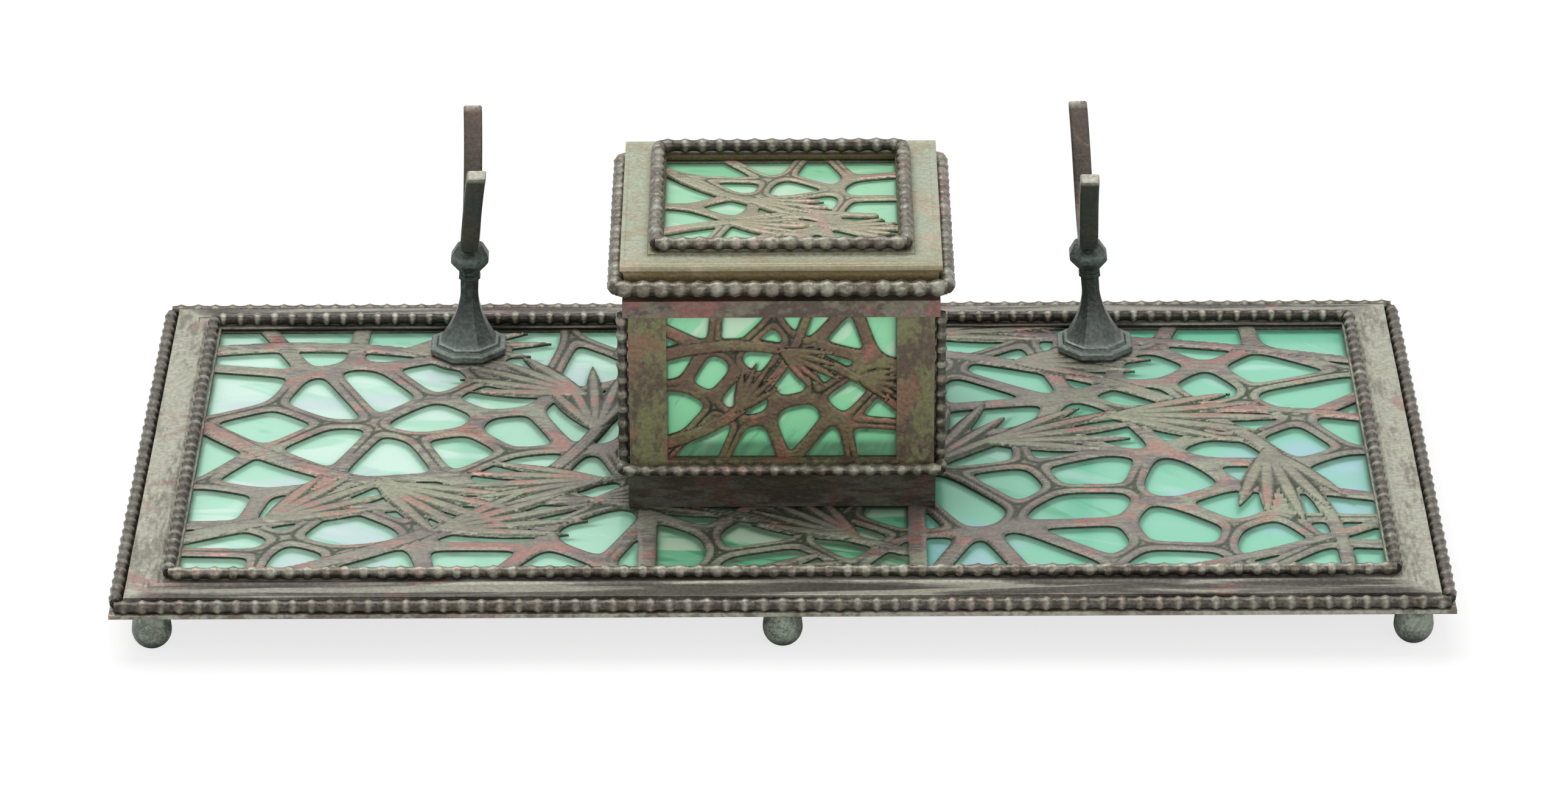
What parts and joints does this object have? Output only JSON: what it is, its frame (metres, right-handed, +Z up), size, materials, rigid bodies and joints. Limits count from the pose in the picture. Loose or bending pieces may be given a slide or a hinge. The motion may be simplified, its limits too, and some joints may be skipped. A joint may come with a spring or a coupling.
{
  "type": "inkstand",
  "caption": "Oblong bronze and streaked-glass inkstand on ball feet, with a square hinged-lid inkwell box in the middle and forked pen rests behind it.",
  "frame": {"origin": "centre of the bounding box's footprint, on the surface that the ball feet stand on", "axes": "+X along the tray to the right, +Y to the back where the hinge and pen rests are, +Z up; the front faces -Y"},
  "size_m": [0.3052, 0.1662, 0.0796],
  "materials": {
    "verdigris_bronze": "satin grey-green patina over brown bronze",
    "dark_bronze": "dark brown patina with olive and copper patches",
    "rest_bronze": "dark grey-green patina",
    "bar_bronze": "brown-mauve patina, rubbed rosy on the high places",
    "pale_glass": "opal white and mint streaked glass",
    "green_glass": "green streaked glass",
    "clear_glass": "clear moulded glass",
    "steel": "dull steel"
  },
  "bodies": {
    "stand": {"tray_frame": "verdigris_bronze", "tray_filigree": "bar_bronze", "tray_glass_left": "pale_glass", "tray_glass_right": "green_glass", "tray_glass_front": "pale_glass", "tray_glass_back": "pale_glass", "tray_bottom_plate": "dark_bronze", "foot_front_left": "verdigris_bronze", "foot_front_middle": "verdigris_bronze", "foot_front_right": "verdigris_bronze", "foot_back_left": "verdigris_bronze", "foot_back_middle": "verdigris_bronze", "foot_back_right": "verdigris_bronze", "outer_beads_front": "verdigris_bronze", "outer_beads_right": "verdigris_bronze", "outer_beads_back": "verdigris_bronze", "outer_beads_left": "verdigris_bronze", "inner_beads_front": "verdigris_bronze", "inner_beads_right": "verdigris_bronze", "inner_beads_back": "verdigris_bronze", "inner_beads_left": "verdigris_bronze", "pen_rest_stand_left": "rest_bronze", "pen_rest_fork_left": "rest_bronze", "pen_rest_nut_left": "steel", "pen_rest_stand_right": "rest_bronze", "pen_rest_fork_right": "rest_bronze", "pen_rest_nut_right": "steel", "box_plinth": "dark_bronze", "box_body": "dark_bronze", "box_top_rail": "dark_bronze", "box_filigree_front": "bar_bronze", "box_filigree_right": "bar_bronze", "box_filigree_back": "bar_bronze", "box_filigree_left": "bar_bronze", "box_glass_front": "green_glass", "box_glass_right": "green_glass", "box_glass_back": "green_glass", "box_glass_left": "green_glass", "box_base_beads": "verdigris_bronze", "corner_beads_front_left": "verdigris_bronze", "corner_beads_front_right": "verdigris_bronze", "corner_beads_back_left": "verdigris_bronze", "corner_beads_back_right": "verdigris_bronze", "collar_plate": "dark_bronze", "box_screw_left": "steel", "box_screw_right": "steel", "hinge_body_leaf": "dark_bronze", "hinge_pin": "steel"},
    "lid": {"lid_frame": "verdigris_bronze", "lid_filigree": "bar_bronze", "lid_glass": "green_glass", "lid_lining": "dark_bronze", "lid_flange_beads": "verdigris_bronze", "lid_inner_beads": "verdigris_bronze", "hinge_lid_leaf": "dark_bronze"},
    "liner": {"ink_liner": "clear_glass"}
  },
  "joints": [
    {"name": "lid_hinge", "type": "hinge", "parent": "stand", "child": "lid", "pos_m": [0, 0.0416, 0.0668], "axis": [-1, 0, 0], "range_deg": [0, 105]},
    {"name": "liner_lift", "type": "slide", "parent": "stand", "child": "liner", "axis": [0, 0, 1], "range_m": [0, 0.0024]}
  ]
}
